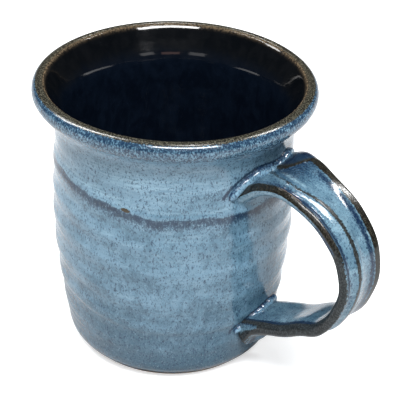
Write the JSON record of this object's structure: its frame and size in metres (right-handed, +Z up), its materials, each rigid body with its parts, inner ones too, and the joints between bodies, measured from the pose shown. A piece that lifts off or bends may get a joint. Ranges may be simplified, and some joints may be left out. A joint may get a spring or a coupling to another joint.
{
  "type": "shaving mug",
  "caption": "Hand-thrown stoneware shaving mug with a flared rolled lip, faint throwing rings and a wide ribbed strap handle, glazed inside and out.",
  "frame": {"origin": "centre of the foot, on the plane of the table", "axes": "+Z up along the cup's axis, +X towards the handle"},
  "size_m": [0.1364, 0.1, 0.104],
  "materials": {
    "clay": "bare fired stoneware, matte",
    "handle_clay": "fired stoneware under the glaze, matte",
    "blue_glaze": "glossy mottled blue-grey glaze breaking brown on edges",
    "liner_glaze": "glossy near-black navy glaze",
    "handle_glaze": "glossy blue glaze breaking dark brown on the edges and the rib",
    "coil_glaze": "glossy light blue glaze"
  },
  "bodies": {
    "root": {"thrown_cup": "clay", "body_glaze": "blue_glaze", "liner_glaze": "liner_glaze", "handle_strap": "handle_clay", "handle_glaze": "handle_glaze", "upper_join_coil": "coil_glaze", "lower_join_coil": "coil_glaze"}
  },
  "joints": []
}
